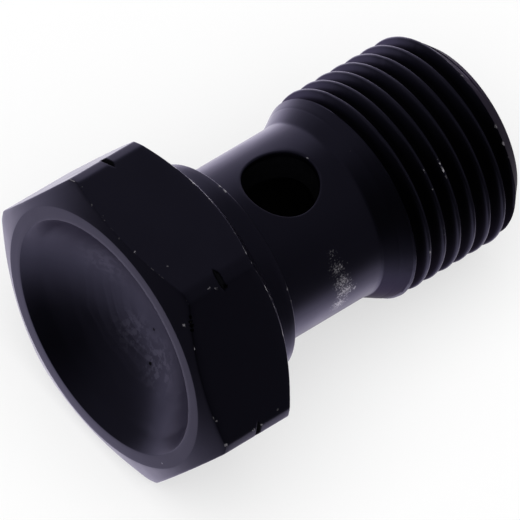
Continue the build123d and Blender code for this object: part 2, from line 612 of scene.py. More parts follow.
@dataclass(frozen=True)
class Thread:
    """The right-hand fine thread, which runs out into the shoulder."""

    shank: Shank
    # Form of the thread, and the place and angle of one crest's middle
    pitch: float = 1.5
    crest_at: float = 24.945
    crest_angle: float = -152.74
    crest_width: float = 0.26
    depth: float = 0.92
    flank: float = 30.0
    root_softness: float = 0.16
    crest_softness: float = 0.07
    blank_softness: float = 0.02
    # Rows each side of a crest's middle, where they begin, and where the groove begins and is full
    row_steps: tuple[float, ...] = (0.0, 0.06, 0.10, 0.13, 0.16, 0.20, 0.27, 0.37, 0.48, 0.60, 0.68)
    starts: float = 23.0
    run_out: Span = (23.05, 23.6)
    # Slight lumps, with this many in a millimetre
    lump_height: float = 0.035
    lump_scale: float = 0.9
    # Crests, rubbed brighter in a few stretches, by the degrees turned along the thread
    crest_wear: float = 0.68
    rubs: tuple[Span, ...] = ((-100, -95), (214, 227), (246, 266), (576, 593))
    rub_wear: float = 0.30
    rub_width: float = 0.08
    rub_fade_out: float = 4.0
    rub_fade_in: float = 3.0
    # The end chamfer painted darker, and painted shade down the flanks, higher up them on one side
    end_darkening: float = 0.60
    end_darkening_below: float = 0.04
    flank_shade: float = 0.06
    root_shade: float = 0.84
    shade_over: Span = (0.35, 0.9)
    shade_side: float = -100.0
    shade_side_over: Span = (0.35, 0.9)
    shade_side_depths: Span = (0.02, 0.34)

    def groove_shade(self, depth: np.ndarray, angles: np.ndarray) -> np.ndarray:
        """Work out the painted shade of the flanks; it climbs higher up them on one side.

        Args:
            depth: Depth in the groove, from 0 at a crest to 1 at the root.
            angles: The angle of each column, in radians.

        Returns:
            The painted shade at each place, from 0 to 1.
        """
        toward_shade_side = smooth_step(*self.shade_side_over, np.cos(angles - math.radians(self.shade_side)))
        on_open_side = smooth_step(*self.shade_over, depth) * (1 - toward_shade_side)
        on_shade_side = smooth_step(*self.shade_side_depths, depth) * toward_shade_side
        return self.flank_shade + self.root_shade * (on_open_side + on_shade_side)

    def groove(self, offset: float) -> float:
        """Return the depth of the full thread at an offset along the axis from a crest's middle."""
        slope = soft_rise(abs(offset) - self.crest_width / 2, self.crest_softness) * cot(self.flank)
        return float(soft_min(np.array(slope), self.depth, self.root_softness))

    def lump(self, z: np.ndarray, angles: np.ndarray) -> np.ndarray:
        """Make the crests and flanks slightly uneven.

        Args:
            z: Places along the axis.
            angles: Their angles, in radians.

        Returns:
            How far each place lies below the even thread.
        """
        places = about_axis(self.shank.crest, angles, z)
        low = [max(0.0, noise.noise(Vector(place) * self.lump_scale)) for place in places]
        return self.lump_height * np.array(low)

    def rubbed(self, along: np.ndarray) -> np.ndarray:
        """Rub the crests bright in a few places.

        Args:
            along: Angle turned along the thread, in degrees.

        Returns:
            The wear of the crest there.
        """
        out, inner = self.rub_fade_out, self.rub_fade_in
        marks = []
        for start, end in self.rubs:
            begun = smooth_step(start - out, start + inner, along)
            marks.append(begun * (1 - smooth_step(end - inner, end + out, along)))
        return self.crest_wear + self.rub_wear * np.max(marks, axis=0)

    def points(self, angles: np.ndarray) -> tuple[np.ndarray, np.ndarray]:
        """Cut the thread; the rows follow its helix.

        Args:
            angles: The angle of each column, in radians.

        Returns:
            The grid of points, and the wear of each.
        """
        shank, steps = self.shank, self.row_steps
        offsets = [-self.pitch / 2] + [-step for step in steps[:0:-1]] + list(steps)
        turns = (angles - math.radians(self.crest_angle)) / (2 * math.pi)
        first = math.floor((self.starts - self.crest_at) / self.pitch - turns.max()) - 1
        last = math.ceil((shank.end - self.crest_at) / self.pitch - turns.min()) + 1
        rows, wear_and_shade = [], []
        for count in range(first, last):
            middle = self.crest_at + self.pitch * (count + turns)
            rubbed = self.rubbed(count * 360 + np.degrees(angles))
            for offset in offsets:
                z = np.clip(middle + offset, self.starts, shank.end)
                cut = smooth_step(*self.run_out, z)
                blank = shank.blank(z)
                r = soft_min(shank.crest - cut * self.groove(offset), blank, self.blank_softness)
                r = r - cut * self.lump(z, angles)
                r = np.where(z <= self.starts, shank.blank(np.full_like(z, self.starts)), r)
                r = np.where(z >= shank.end, shank.tip, r)
                rows.append(about_axis(r, angles, z))
                # Flanks and roots are painted dark as shade; the end chamfer is painted darker
                sunk = self.groove_shade((blank - r) / self.depth, angles)
                crest = rubbed * cut if abs(offset) < self.rub_width else 0.0
                crest = np.where(z < self.run_out[1], shank.shoulder_painted_shade(angles), crest)
                chamfered = blank < shank.crest - self.end_darkening_below
                at_end = z > shank.end - shank.end_chamfer
                on_top = np.where(chamfered & at_end, -self.end_darkening, crest)
                wear_and_shade.append(np.where(blank - r > self.crest_softness, -sunk, on_top))
        return np.array(rows), np.array(wear_and_shade)


@dataclass(frozen=True)
class Window:
    """A round opening in a tube, cut by a hole that crosses the axis.

    Attributes:
        tube: Radius of the tube.
        centre: Where the hole's axis crosses the tube's.
        reach: Distance along the axis from there to the ends of the window's frame.
        half_angle: Angle about the axis from the hole's middle to the frame's sides, in degrees.
        rows: Steps along the frame's sides.
    """

    tube: float
    centre: float
    reach: float
    half_angle: float
    rows: int

    @property
    def low(self) -> float:
        """Where the frame begins."""
        return self.centre - self.reach

    @property
    def high(self) -> float:
        """Where the frame ends."""
        return self.centre + self.reach

    def frame_points(self, columns: Columns, side: Side) -> np.ndarray:
        """Go round the frame.

        Args:
            columns: The columns that the tube's own points lie on.
            side: Which mouth of the hole it is.

        Returns:
            The loop of points as (y, z), from the lowest corner.
        """
        middle = 0.0 if side is Side.LOWER else 180.0
        span = columns.between(middle - self.half_angle, middle + self.half_angle)
        y = self.tube * np.sin(columns.angles[span])
        z = np.linspace(self.low, self.high, self.rows + 1)
        if side is Side.UPPER:
            y = y[::-1]
        bottom = np.stack([y[:-1], np.full(len(y) - 1, z[0])], -1)
        right = np.stack([np.full(self.rows, y[-1]), z[:-1]], -1)
        top = np.stack([y[:0:-1], np.full(len(y) - 1, z[-1])], -1)
        left = np.stack([np.full(self.rows, y[0]), z[:0:-1]], -1)
        return np.concatenate([bottom, right, top, left])

    def bearings(self, loop: np.ndarray) -> np.ndarray:
        """Return the direction of each point of a loop from the hole's middle."""
        return np.unwrap(np.arctan2(loop[:, 1] - self.centre, loop[:, 0]))


@dataclass(frozen=True)
class Oilways:
    """The feed bore from the thread end and the hole drilled across the neck."""

    shank: Shank
    columns: Columns
    # Feed bore
    bore_diameter: float = 9.0
    bore_overrun: float = 0.95
    bore_edge: float = 0.08
    drill_point: float = 118.0
    mouth_chamfer: float = 0.5
    # Cross hole
    hole_diameter: float = 6.0
    hole_edge: float = 0.24
    edge_steps: int = 4
    wall_steps: int = 8
    patch_steps: int = 6
    # Wear of the mouths and of the edges just inside them, then painted shade at the throat and
    # further in
    mouth_wear: float = 0.2
    hole_edge_wear: float = 0.35
    throat_shade: float = -0.5
    inside_shade: float = -1.0
    # Windows in the neck and the bore, and the walls between them, by angles in degrees
    outer_reach: float = 4.0
    outer_half_angle: float = 30.0
    inner_reach: float = 3.6
    inner_half_angle: float = 60.0
    inner_rows: int = 14
    neck_walls: tuple[Span, ...] = ((30, 150), (210, 300), (-60, -30))
    bore_walls: tuple[Span, ...] = ((60, 120), (240, 300))

    @property
    def bore(self) -> float:
        """Radius of the feed bore."""
        return self.bore_diameter / 2

    @property
    def hole(self) -> float:
        """Radius of the cross hole."""
        return self.hole_diameter / 2

    @property
    def hole_at(self) -> float:
        """Where the cross hole's axis is, at the middle of the neck."""
        return (self.shank.collar_end + self.shank.shoulder_start) / 2

    @property
    def bore_end(self) -> float:
        """Where the full bore stops."""
        return self.hole_at - self.hole - self.bore_overrun

    @property
    def outer(self) -> Window:
        """The window in the neck."""
        rows = self.columns.half * 2 + self.inner_rows
        return Window(self.shank.neck, self.hole_at, self.outer_reach, self.outer_half_angle, rows)

    @property
    def inner(self) -> Window:
        """The window in the bore."""
        reach, half_angle = self.inner_reach, self.inner_half_angle
        return Window(self.bore, self.hole_at, reach, half_angle, self.inner_rows)

    def ring(
        self, tube: float, radius: float, bearing: np.ndarray, side: Side, sink: float = 0.0
    ) -> np.ndarray:
        """Draw a ring round the hole's axis, where it meets a tube.

        Args:
            tube: Radius of the tube.
            radius: Radius of the ring.
            bearing: Direction of each point from the hole's middle, in radians.
            side: Which mouth of the hole it is.
            sink: How far the ring lies below the tube.

        Returns:
            The points of the ring.
        """
        y = radius * np.cos(bearing)
        z = self.hole_at + radius * np.sin(bearing)
        x = side.value * (np.sqrt(tube**2 - y**2) - sink)
        return np.stack([x, y, z], -1)

    def patch(self, window: Window, loop: np.ndarray, target: np.ndarray, side: Side) -> np.ndarray:
        """Lead over a tube from a window's frame to the hole.

        Args:
            window: The window.
            loop: The frame's points, as (y, z).
            target: The ring at the hole.
            side: Which mouth of the hole it is.

        Returns:
            The rings from the frame to the hole, both included.
        """
        rings = []
        ends = np.stack([target[:, 1], target[:, 2]], -1)
        for step in range(self.patch_steps + 1):
            flat = loop + (ends - loop) * step / self.patch_steps
            x = side.value * np.sqrt(window.tube**2 - flat[:, 0] ** 2)
            rings.append(np.stack([x, flat[:, 0], flat[:, 1]], -1))
        return np.array(rings)

    def drill(self, shell: Shell, side: Side) -> None:
        """Add one mouth of the cross hole, with the tube walls round both its ends.

        Args:
            shell: The mesh to add to.
            side: Which mouth of the hole it is.
        """
        outer, inner = self.outer, self.inner
        outer_loop = outer.frame_points(self.columns, side)
        inner_loop = inner.frame_points(self.columns, side)
        bearing = (outer.bearings(outer_loop) + inner.bearings(inner_loop)) / 2
        lip = self.ring(outer.tube, self.hole + self.hole_edge, bearing, side)
        rings = list(self.patch(outer, outer_loop, lip, side))
        wear_and_shade = [0.0] * len(rings)
        for step in range(1, self.edge_steps + 1):
            turn = math.pi / 2 * step / self.edge_steps
            radius = self.hole + self.hole_edge * (1 - math.sin(turn))
            sink = self.hole_edge * (1 - math.cos(turn))
            rings.append(self.ring(outer.tube, radius, bearing, side, sink))
            wear_and_shade.append(self.hole_edge_wear if step < self.edge_steps else self.throat_shade)
        mouth, foot = rings[-1], self.ring(inner.tube, self.hole, bearing, side)
        for step in range(1, self.wall_steps + 1):
            rings.append(mouth + (foot - mouth) * step / self.wall_steps)
        rings += list(self.patch(inner, inner_loop, foot, side)[-2::-1])
        wear_and_shade += [self.inside_shade] * (len(rings) - len(wear_and_shade))
        grid = np.array(rings)
        grid = np.concatenate([grid, grid[:, :1]], axis=1)
        shell.add(grid, np.array(wear_and_shade)[:, None])

    def tube_walls(self, shell: Shell) -> None:
        """Add the walls of the neck and the bore between the windows.

        Args:
            shell: The mesh to add to.
        """
        for window, spans, wear_and_shade in (
            (self.outer, self.neck_walls, 0.0),
            (self.inner, self.bore_walls, self.inside_shade),
        ):
            low = Corner(window.tube, window.low, run=window.rows)
            line = [low, Corner(window.tube, window.high)]
            for start, end in spans:
                angles = self.columns.angles[self.columns.between(start, end)]
                shell.add(turned(line, angles)[0], wear_and_shade)

    def bore_corners(self) -> list[Corner]:
        """Draw the end face and the first stretch of the bore.

        Returns:
            The line from the end face's outer edge down the bore to its window.
        """
        end, edge = self.shank.end, self.bore_edge
        mouth, throat = self.bore + self.mouth_chamfer, end - self.mouth_chamfer
        return [
            Corner(self.shank.tip, end, run=5),
            Corner(mouth, end, edge, arc=2, run=2, wear_and_shade=self.mouth_wear),
            Corner(self.bore, throat, edge, arc=2, run=14, wear_and_shade=self.throat_shade),
            Corner(self.bore, self.inner.high, wear_and_shade=self.inside_shade),
        ]

    def drill_point_corners(self) -> list[Corner]:
        """Draw the foot of the bore.

        Returns:
            The line from the bore's window to the drill point.
        """
        wear_and_shade = self.inside_shade
        return [
            Corner(self.bore, self.inner.low, wear_and_shade=wear_and_shade),
            Corner(self.bore, self.bore_end, run=6, wear_and_shade=wear_and_shade),
            Corner(0.0, self.bore_end - self.bore * cot(self.drill_point / 2), wear_and_shade=wear_and_shade),
        ]


@dataclass(frozen=True)
class Grain:
    """A noise laid over the surface.

    Attributes:
        scale: Features in a millimetre.
        detail: Layers of finer features in it.
        roughness: Strength of each finer layer beside the one before.
    """

    scale: float
    detail: float = 2.0
    roughness: float = 0.5


class Graph:
    """A short way to write a material's nodes."""

    VALUE_OPERATIONS = ("DOT_PRODUCT", "LENGTH", "DISTANCE")

    def __init__(self, name: str, world: bpy.types.World | None = None) -> None:
        """Make an empty material, or clear a world's nodes, with only the output left.

        Args:
            name: Name of the new material.
            world: The world to clear in its place.
        """
        self.material = bpy.data.materials.new(name) if world is None else None
        owner = world or self.material
        owner.use_nodes = True
        self.tree = owner.node_tree
        self.tree.nodes.clear()
        output = "ShaderNodeOutputWorld" if world else "ShaderNodeOutputMaterial"
        self.output = self.tree.nodes.new(output)

    def node(
        self, kind: str, inputs: dict[str | int, Input] | None = None, **settings: str
    ) -> bpy.types.Node:
        """Add a node.

        Args:
            kind: Blender's name of the node type.
            inputs: Values or sockets for its inputs, by name or number.
            **settings: Properties of the node itself.

        Returns:
            The new node.
        """
        made = self.tree.nodes.new(kind)
        for key, value in settings.items():
            setattr(made, key, value)
        for key, value in (inputs or {}).items():
            if isinstance(value, Socket):
                self.tree.links.new(value, made.inputs[key])
            else:
                made.inputs[key].default_value = value
        return made

    def show(self, shader: bpy.types.Node) -> None:
        """Send a shader to the output."""
        self.tree.links.new(shader.outputs[0], self.output.inputs["Surface"])

    def math(self, operation: str, a: Input, b: Input) -> Socket:
        """Add a sum, product or other operation on two values."""
        return self.node("ShaderNodeMath", {0: a, 1: b}, operation=operation).outputs[0]

    def product(self, first: Input, *others: Input) -> Socket:
        """Multiply values.

        Args:
            first: The first value.
            *others: The values to multiply it by.

        Returns:
            The product of all of them.
        """
        for other in others:
            first = self.math("MULTIPLY", first, other)
        return first

    def vector(self, operation: str, a: Input, b: Input = (0.0, 0.0, 0.0)) -> Socket:
        """Add an operation on two vectors."""
        made = self.node("ShaderNodeVectorMath", {0: a, 1: b}, operation=operation)
        return made.outputs["Value" if operation in self.VALUE_OPERATIONS else "Vector"]

    def place(self) -> Socket:
        """Return the place on the surface, in millimetres."""
        inputs = {0: self.node("ShaderNodeTexCoord").outputs["Object"], "Scale": 1 / MM}
        return self.node("ShaderNodeVectorMath", inputs, operation="SCALE").outputs[0]

    def ease(
        self, value: Input, low: float, high: float, start: float = 0.0, end: float = 1.0
    ) -> Socket:
        """Ease from one amount to another as a value rises.

        Args:
            value: The value that decides.
            low: Value at which the easing starts.
            high: Value at which it ends.
            start: Amount at low and below.
            end: Amount at high and above.

        Returns:
            The amount.
        """
        inputs = {"Value": value, "From Min": low, "From Max": high, "To Min": start, "To Max": end}
        made = self.node("ShaderNodeMapRange", inputs, interpolation_type="SMOOTHSTEP")
        return made.outputs["Result"]

    def fade(self, value: Input, low: float, high: float) -> Socket:
        """Ease from 1 to 0 as a value rises from low to high."""
        return self.ease(value, low, high, 1.0, 0.0)

    def noise(self, place: Input, grain: Grain) -> Socket:
        """Lay a grain over a place in millimetres."""
        sizes = {"Scale": grain.scale, "Detail": grain.detail, "Roughness": grain.roughness}
        return self.node("ShaderNodeTexNoise", {"Vector": place, **sizes}).outputs["Fac"]

    def blend(self, factor: Input, a: Input, b: Input) -> Socket:
        """Blend two values by a factor."""
        return self.node("ShaderNodeMix", {0: factor, 2: a, 3: b}, data_type="FLOAT").outputs[0]

    def blend_colour(self, factor: Input, a: Input, b: Input) -> Socket:
        """Blend two colours by a factor."""
        return self.node("ShaderNodeMix", {0: factor, 6: a, 7: b}, data_type="RGBA").outputs[2]

    def glow(self, strength: Input) -> bpy.types.Node:
        """Add a white light of its own."""
        return self.node("ShaderNodeEmission", {"Color": WHITE, "Strength": strength})

    def mix(self, factor: Input, a: bpy.types.Node, b: bpy.types.Node) -> bpy.types.Node:
        """Mix two shaders by a factor."""
        return self.node("ShaderNodeMixShader", {0: factor, 1: a.outputs[0], 2: b.outputs[0]})

    def seen(self) -> Socket:
        """Find the rays that show a background.

        Returns:
            1 for the rays of the camera, gloss and glass, and 0 for all others.
        """
        rays = self.node("ShaderNodeLightPath").outputs
        shown = self.math("MAXIMUM", rays["Is Camera Ray"], rays["Is Glossy Ray"])
        return self.math("MAXIMUM", shown, rays["Is Transmission Ray"])


@dataclass(frozen=True)
class Mark:
    """A small place where the finish is chipped, rubbed, painted darker or given a lighter film.

    Attributes:
        angle: Angle about the axis, in degrees.
        along: Place along the axis.
        out: Distance from the axis.
        reach: Radius within which it shows.
        strength: How far it is filled; at 1 its middle is solid, at a half it is only a few grains.
    """

    angle: float
    along: float
    out: float
    reach: float
    strength: float = 1.0

    def place(self, laid: Matrix) -> Point:
        """Return its place on the laid bolt, in millimetres."""
        return tuple(laid @ Vector(about_axis(self.out, math.radians(self.angle), self.along)))


@dataclass(frozen=True)
class WornBlackWithPaintedShade:
    """Satin black oxide on steel: violet gloss, painted shade in grooves, rubbed bright on edges.
    """

    # Open finish
    oxide: Colour = (0.0395, 0.037, 0.063, 1.0)
    oxide_metallic: float = 0.97
    edge_tint: Colour = (0.90, 0.86, 1.0, 1.0)
    roughness: float = 0.33
    roughness_range: float = 0.08
    cloud: Grain = Grain(0.35, 3.0)
    tooth: Grain = Grain(9.0)
    tooth_strength: float = 0.05
    tooth_depth: float = 0.02
    # Bare steel, where edges are rubbed and places chipped
    steel: Colour = (0.50, 0.48, 0.52, 1.0)
    steel_metallic: float = 0.6
    steel_roughness: float = 0.42
    broken: Grain = Grain(1.1, 4.0, 0.62)
    rubbed_over: Span = (0.47, 0.60)
    specks: Grain = Grain(7.0, 4.0, 0.7)
    speck_strength: float = 1.9
    chipped_over: Span = (0.50, 0.78)
    chip_brightness: float = 0.7
    dark_marks_over: Span = (0.40, 0.55)
    # Painted shade of the grooves and of the lining of the oilways; faces with less wear than these
    # take them
    groove_shade_below: float = -0.03
    oilway_shade_below: float = -0.95
    painted_shade: Colour = (0.004, 0.004, 0.005, 1.0)
    shade_roughness: float = 0.6
    groove_shade_tint: Colour = (0.50, 0.47, 0.52, 1.0)
    lining_roughness: float = 0.8
    lining_shade: float = 0.4
    lining_grain: Grain = Grain(1.5, 3.0)
    # Film in the dish, mottled and painted lighter violet as a sheen, and faint turning marks in
    # the dish
    film_and_sheen: Colour = (0.072, 0.067, 0.105, 1.0)
    curds: Grain = Grain(1.7, 4.0, 0.6)
    curdled_over: Span = (0.46, 0.58)
    swirl_depth: float = 0.045
    swirl_grain: Grain = Grain(0.9)
    swirl_stretch: float = 0.1
    swirl_wander: float = 2.2
    wander_grain: Grain = Grain(0.2, 1.0)
    swirl_edge: Span = (9.2, 10.0)
    swirl_bottom: Span = (5.5, 7.0)
    chips: tuple[Mark, ...] = (
        # Rubbed patch that runs round the neck
        Mark(-126, 17.0, 7.5, 1.3, 0.48),
        Mark(-115, 17.2, 7.5, 1.8, 0.62),
        Mark(-104, 17.5, 7.5, 1.9, 0.68),
        Mark(-95, 17.8, 7.5, 1.9, 0.70),
        Mark(-85, 17.4, 7.5, 2.0, 0.66),
        Mark(-93, 18.7, 7.5, 0.6, 0.62),
        # Corners, edges and faces of the head
        Mark(154, 0.9, 13.5, 0.42, 0.70),
        Mark(161, 0.5, 12.6, 0.26, 0.64),
        Mark(167, 0.5, 12.4, 0.30, 0.64),
        Mark(178, 0.3, 11.9, 0.32, 0.62),
        Mark(-174, 0.4, 12.1, 0.28, 0.62),
        Mark(-163, 1.6, 12.6, 0.26, 0.70),
        Mark(-149, 3.1, 13.5, 0.42, 0.60),
        Mark(-148, 3.6, 13.5, 0.38, 0.64),
        Mark(-143, 3.4, 13.5, 0.26, 0.66),
        Mark(-142, 0.4, 12.3, 0.35, 0.85),
        Mark(-92.5, 1.0, 13.5, 0.30),
        Mark(-92, 3.7, 13.5, 0.35, 0.8),
        Mark(-92, 4.5, 13.5, 0.25),
        Mark(-94, 6.2, 13.4, 0.30, 0.7),
        Mark(-102, 0.7, 12.6, 0.22, 0.8),
        Mark(-153, 7.4, 13.5, 0.30, 0.9),
        Mark(174, 8.3, 12.1, 0.35),
        Mark(-50, 0.0, 10.8, 0.20, 0.8),
        # Edge of the collar
        Mark(170, 11.6, 8.9, 0.45, 0.9),
        Mark(174, 11.6, 8.9, 0.50),
        Mark(-127, 11.6, 8.9, 0.35),
        Mark(-120, 11.6, 8.9, 0.35),
        # Edge of the end chamfer
        Mark(-134, 33.95, 8.8, 0.55, 0.8),
        Mark(-144, 33.9, 8.8, 0.50, 0.75),
        Mark(-126, 34.0, 8.8, 0.40, 0.8),
        Mark(-175, 33.9, 8.8, 0.35, 0.75),
        # Mouth of the cross hole and the shoulder
        Mark(176, 19.6, 7.5, 0.22, 0.8),
        Mark(-172, 22.5, 8.0, 0.20, 0.8),
    )
    dark_marks: tuple[Mark, ...] = (
        # Small marks, painted dark and dull like the painted shade
        Mark(-150, 4.3, 13.5, 0.35),
        Mark(-147, 4.5, 13.4, 0.32),
        Mark(-144, 0.8, 13.1, 0.26),
        Mark(-142.5, 0.75, 12.9, 0.28),
        Mark(-141, 0.7, 12.8, 0.34),
        Mark(-139.5, 0.65, 12.7, 0.28),
        Mark(-151, 1.0, 13.3, 0.24, 0.9),
        Mark(-18, 4.0, 4.9, 0.30),
        Mark(-15, 4.8, 2.1, 0.22),
    )
    film_and_sheen_spots: tuple[Mark, ...] = (
        # Curdled film in the dish, painted lighter violet as a sheen
        Mark(-30, 4.2, 4.6, 3.2, 1.2),
        Mark(15, 4.4, 4.0, 3.0, 0.9),
        Mark(110, 4.0, 5.0, 3.4, 0.7),
    )

    def materials(self, laid: Matrix) -> list[bpy.types.Material]:
        """Build the open finish, the dull finish painting the grooves' shade and the lining
        painting the oilways' shade.

        Args:
            laid: The move from the bolt's own frame to the floor, in millimetres.

        Returns:
            The three materials, in the order that kind() counts them.
        """
        return [
            self.material("worn_black_oxide_painted_shade", self.edge_tint, laid),
            self.material("groove_shade_black_oxide", self.groove_shade_tint, laid),
            self.sheltered(),
        ]

    def kind(self, wear_and_shade: float) -> int:
        """Return which of the three materials suits a face, by the wear of its most open corner."""
        return 2 if wear_and_shade < self.oilway_shade_below else 1 if wear_and_shade < self.groove_shade_below else 0

    def sheltered(self) -> bpy.types.Material:
        """Build the dark matte lining of the oilways, painted as their shade, where nothing rubs.

        Returns:
            The node material.
        """
        g = Graph("oilway_painted_shade")
        darker = (*(self.lining_shade * value for value in self.painted_shade[:3]), 1.0)
        colour = g.blend_colour(g.noise(g.place(), self.lining_grain), self.painted_shade, darker)
        matte = {"Roughness": self.lining_roughness, "Specular IOR Level": 0.0}
        g.show(g.node("ShaderNodeBsdfPrincipled", {"Base Color": colour, **matte}))
        return g.material

    @staticmethod
    def marked(g: Graph, place: Input, marks: tuple[Mark, ...], laid: Matrix) -> Socket:
        """Find how strongly some marks show.

        Args:
            g: Nodes of the material.
            place: Place on the laid bolt, in millimetres.
            marks: The marks.
            laid: The move from the bolt's own frame to the floor, in millimetres.

        Returns:
            An amount that is 0 away from all of them.
        """
        amount = 0.0
        for mark in marks:
            away = g.vector("DISTANCE", place, mark.place(laid))
            amount = g.math("MAXIMUM", g.ease(away, 0.0, mark.reach, mark.strength, 0.0), amount)
        return amount

    def swirls(self, g: Graph, place: Input, laid: Matrix) -> Socket:
        """Draw the faint turning marks, which are only in the dish.

        Args:
            g: Nodes of the material.
            place: Place on the laid bolt, in millimetres.
            laid: The move from the bolt's own frame to the floor, in millimetres.

        Returns:
            A height from 0 to 1 that changes with the distance from the bolt's axis.
        """
        axis = laid.to_3x3() @ Vector((0.0, 0.0, 1.0))
        away = g.vector("SUBTRACT", place, laid.translation)
        radius = g.vector("LENGTH", g.vector("CROSS_PRODUCT", away, axis))
        along = g.vector("DOT_PRODUCT", away, axis)
        wander = g.math("MULTIPLY", g.noise(place, self.wander_grain), self.swirl_wander)
        ring = {"X": g.math("ADD", radius, wander)}
        ring["Z"] = g.math("MULTIPLY", along, self.swirl_stretch)
        height = g.noise(g.node("ShaderNodeCombineXYZ", ring).outputs[0], self.swirl_grain)
        inside = g.fade(radius, *self.swirl_edge)
        return g.product(height, inside, g.fade(along, *self.swirl_bottom))

    def material(self, name: str, edge_tint: Colour, laid: Matrix) -> bpy.types.Material:
        """Build the finish as a node material.

        Args:
            name: Name of the material.
            edge_tint: How much the finish reflects at a glancing angle, by colour.
            laid: The move from the bolt's own frame to the floor, in millimetres.

        Returns:
            The node material.
        """
        g = Graph(name)
        place = g.place()
        wear_and_shade = g.node("ShaderNodeAttribute", attribute_name=WEAR_AND_SHADE_LAYER).outputs["Fac"]
        rubbed = g.product(g.math("MAXIMUM", wear_and_shade, 0.0), g.noise(place, self.broken))
        specks = g.math("SUBTRACT", g.noise(place, self.specks), MEAN_NOISE)
        specks = g.math("MULTIPLY", specks, self.speck_strength)
        chipped = g.math("ADD", self.marked(g, place, self.chips, laid), specks)
        chipped = g.math("MULTIPLY", g.ease(chipped, *self.chipped_over), self.chip_brightness)
        bare = g.math("MAXIMUM", g.ease(rubbed, *self.rubbed_over), chipped)
        dark_marked = g.math("ADD", self.marked(g, place, self.dark_marks, laid), specks)
        # Painted shade: values below 0 darken and dull the finish, and so do the dark marks
        shade_and_dark_marks = g.math("MULTIPLY", wear_and_shade, -1.0)
        shade_and_dark_marks = g.math("MAXIMUM", shade_and_dark_marks, g.ease(dark_marked, *self.dark_marks_over))
        smooth, dull = self.roughness - self.roughness_range, self.roughness + self.roughness_range
        rough = g.blend(g.noise(place, self.cloud), smooth, dull)
        rough = g.blend(shade_and_dark_marks, rough, self.shade_roughness)
        tooth = {"Strength": self.tooth_strength, "Distance": self.tooth_depth * MM}
        bump = g.node("ShaderNodeBump", {**tooth, "Height": g.noise(place, self.tooth)})
        swirls = {"Distance": self.swirl_depth * MM, "Height": self.swirls(g, place, laid)}
        bump = g.node("ShaderNodeBump", {**swirls, "Normal": bump.outputs[0]})
        curdled = g.ease(g.noise(place, self.curds), *self.curdled_over)
        # Mottled film in the dish, painted lighter violet as a sheen
        film_and_sheen = g.math("MULTIPLY", curdled, self.marked(g, place, self.film_and_sheen_spots, laid))
        coat = g.blend_colour(g.math("MINIMUM", film_and_sheen, 1.0), self.oxide, self.film_and_sheen)
        coat = g.blend_colour(shade_and_dark_marks, coat, self.painted_shade)
        inputs = {
            "Base Color": g.blend_colour(bare, coat, self.steel),
            "Metallic": g.blend(bare, self.oxide_metallic, self.steel_metallic),
            "Roughness": g.blend(bare, rough, self.steel_roughness),
            "Specular Tint": edge_tint,
            "Normal": bump.outputs[0],
        }
        g.show(g.node("ShaderNodeBsdfPrincipled", inputs))
        return g.material


